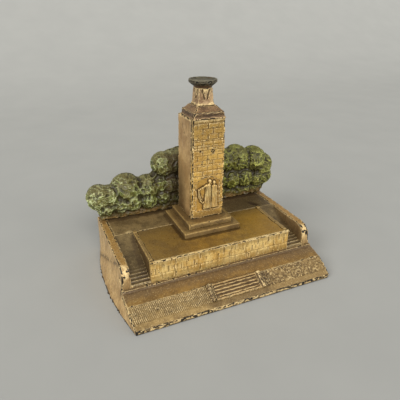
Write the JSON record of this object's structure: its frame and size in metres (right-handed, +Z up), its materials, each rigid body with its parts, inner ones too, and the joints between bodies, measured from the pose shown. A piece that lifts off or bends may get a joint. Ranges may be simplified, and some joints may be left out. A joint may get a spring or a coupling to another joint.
{
  "type": "miniature landmark model",
  "caption": "Cast and gilded miniature of a memorial tower on a terraced base with side stairs, a sloping ribbed apron with a blank tablet, and green hedges behind.",
  "frame": {"origin": "middle of the model's footprint, on the surface it stands on", "axes": "+X to the right seen from the front, +Y to the back, +Z up"},
  "size_m": [0.1478, 0.095, 0.1226],
  "materials": {
    "gilt_casting": "worn gold paint over cast white metal",
    "dark_casting": "grimy brown patina over worn gold paint",
    "bare_metal": "dark bare cast metal",
    "green_paint": "worn green paint over pitted casting",
    "steel_sheet": "plain sheet",
    "steel_fixings": "zinc plated",
    "brass_nut": "dull brass",
    "felt": "thin green felt"
  },
  "bodies": {
    "root": {"base_frame": "gilt_casting", "left_side_wall": "gilt_casting", "right_side_wall": "gilt_casting", "apron_panel": "gilt_casting", "ledge_course": "gilt_casting", "terrace_wall": "gilt_casting", "terrace_coping": "gilt_casting", "terrace_left_side": "gilt_casting", "terrace_right_side": "gilt_casting", "terrace_deck": "gilt_casting", "left_stair": "dark_casting", "right_stair": "dark_casting", "rear_landing": "gilt_casting", "plinth_lower_step": "gilt_casting", "plinth_upper_step": "gilt_casting", "tower_body": "gilt_casting", "tower_front": "gilt_casting", "relief_panel": "gilt_casting", "relief_left_figure": "gilt_casting", "relief_right_figure": "gilt_casting", "cornice": "dark_casting", "pedestal": "dark_casting", "dish": "bare_metal", "left_hedge": "green_paint", "right_hedge": "green_paint", "plaque_panel": "gilt_casting", "plaque_rails": "gilt_casting", "plaque_ribs": "gilt_casting", "plaque_left_post": "gilt_casting", "plaque_right_post": "gilt_casting", "closing_plate": "steel_sheet", "plate_screws": "steel_fixings", "felt_pad": "felt", "tie_rod": "steel_fixings", "tie_washer": "steel_fixings", "tie_nut": "brass_nut"}
  },
  "joints": []
}
